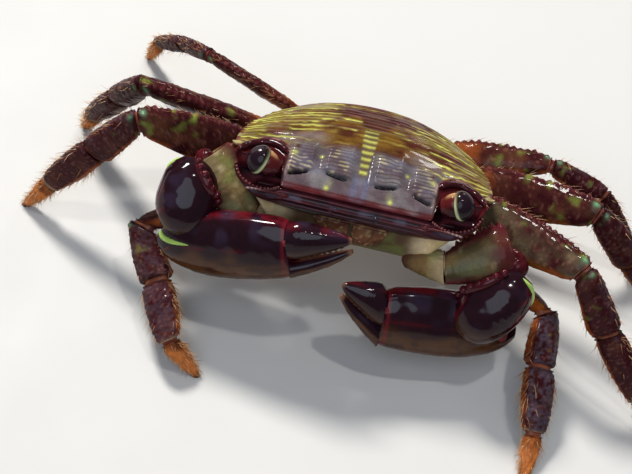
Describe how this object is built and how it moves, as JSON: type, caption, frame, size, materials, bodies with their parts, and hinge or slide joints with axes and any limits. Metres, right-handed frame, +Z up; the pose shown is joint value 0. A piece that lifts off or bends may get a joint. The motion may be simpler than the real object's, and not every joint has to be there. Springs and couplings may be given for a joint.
{
  "type": "shore crab",
  "caption": "Still life-size model of a squarish shore crab, crouched on its walking legs with both claws folded before its face",
  "frame": {"origin": "centre of the footprint box, at floor level", "axes": "+Z up from the floor, +X to the crab's left across the span of the legs, -Y the way the crab faces"},
  "size_m": [0.1112, 0.0706, 0.0316],
  "materials": {
    "carapace": "dark brown-maroon shell, wet, with fine yellow-green cross lines",
    "underside": "pale yellow-tan shell of the breastplate, dark maroon on the face",
    "flap": "pale yellow-tan shell of the folded tail",
    "eyestalk": "dark maroon stalk with a pale rim",
    "cornea": "near-black, smooth and wet",
    "antenna": "brown, thin",
    "mouthpart": "maroon-brown plates that close the mouth",
    "claw": "dark purple-maroon, wet, olive-brown below",
    "claw_arm": "olive-tan with a maroon toothed margin",
    "leg": "maroon upper margin and mottled olive-brown faces",
    "leg_tip": "orange-brown under dense short hair",
    "membrane": "soft pale pink-tan skin in the joints",
    "bristle": "stiff orange-brown hairs"
  },
  "bodies": {
    "root": {"abdomen": "flap", "carapace": "carapace", "left_antenna": "antenna", "left_claw_carpus": "claw", "left_claw_dactyl": "claw", "left_claw_ischium": "claw_arm", "left_claw_merus": "claw_arm", "left_claw_propodus": "claw", "left_cornea": "cornea", "left_eyestalk": "eyestalk", "left_leg_1_carpus": "leg", "left_leg_1_dactyl": "leg_tip", "left_leg_1_merus": "leg", "left_leg_1_propodus": "leg", "left_leg_2_carpus": "leg", "left_leg_2_dactyl": "leg_tip", "left_leg_2_merus": "leg", "left_leg_2_propodus": "leg", "left_leg_3_carpus": "leg", "left_leg_3_dactyl": "leg_tip", "left_leg_3_merus": "leg", "left_leg_3_propodus": "leg", "left_leg_4_carpus": "leg", "left_leg_4_dactyl": "leg_tip", "left_leg_4_merus": "leg", "left_leg_4_propodus": "leg", "left_mouthpart": "mouthpart", "right_antenna": "antenna", "right_claw_carpus": "claw", "right_claw_dactyl": "claw", "right_claw_ischium": "claw_arm", "right_claw_merus": "claw_arm", "right_claw_propodus": "claw", "right_cornea": "cornea", "right_eyestalk": "eyestalk", "right_leg_1_carpus": "leg", "right_leg_1_dactyl": "leg_tip", "right_leg_1_merus": "leg", "right_leg_1_propodus": "leg", "right_leg_2_carpus": "leg", "right_leg_2_dactyl": "leg_tip", "right_leg_2_merus": "leg", "right_leg_2_propodus": "leg", "right_leg_3_carpus": "leg", "right_leg_3_dactyl": "leg_tip", "right_leg_3_merus": "leg", "right_leg_3_propodus": "leg", "right_leg_4_carpus": "leg", "right_leg_4_dactyl": "leg_tip", "right_leg_4_merus": "leg", "right_leg_4_propodus": "leg", "right_mouthpart": "mouthpart", "trunk": "underside"}
  },
  "joints": []
}
